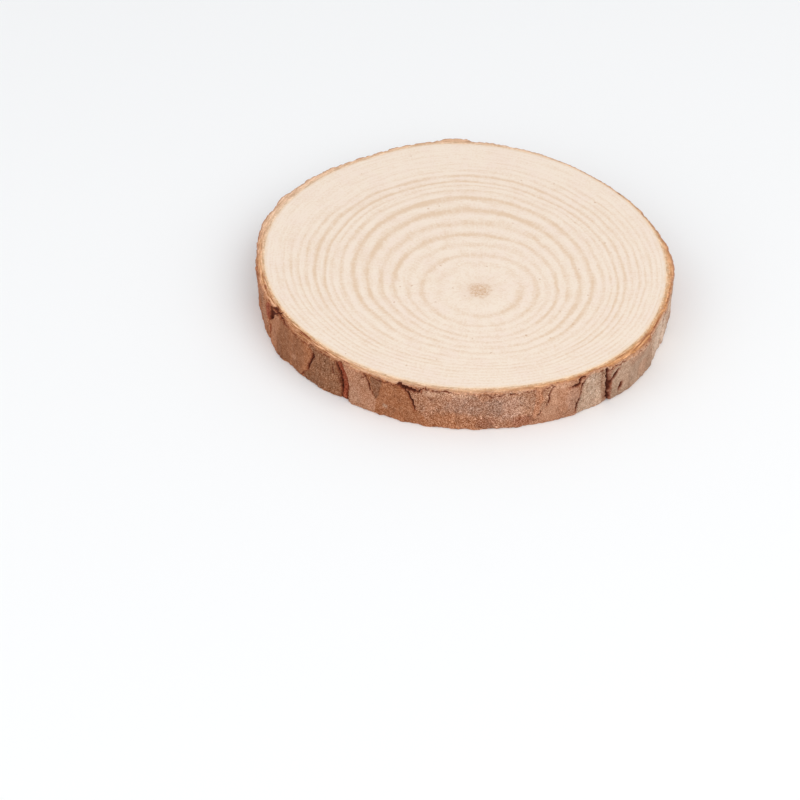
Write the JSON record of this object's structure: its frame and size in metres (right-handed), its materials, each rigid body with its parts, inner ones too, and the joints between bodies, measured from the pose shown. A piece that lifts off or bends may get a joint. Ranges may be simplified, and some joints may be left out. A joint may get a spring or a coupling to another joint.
{
  "type": "wood slice",
  "caption": "Round slice sawn across a pine branch: a flat disc of wood with growth rings, in a ring of its own rough bark; a coaster, craft base or decoration.",
  "frame": {"origin": "middle of the slice's box, on its sawn underside", "axes": "+Z runs along the branch, up out of the upper sawn face; +X is to the right and +Y away from the viewer in the picture"},
  "size_m": [0.0948, 0.0958, 0.01],
  "materials": {
    "wood": "pale pine, sawn across the grain and sanded, bare and matt, with narrow tan growth rings and a brown pith",
    "bark": "dry, matt, red-brown and grey-brown plates with dark fissures and an orange-brown sawn rim"
  },
  "bodies": {
    "root": {"wood": "wood", "bark": "bark"}
  },
  "joints": []
}
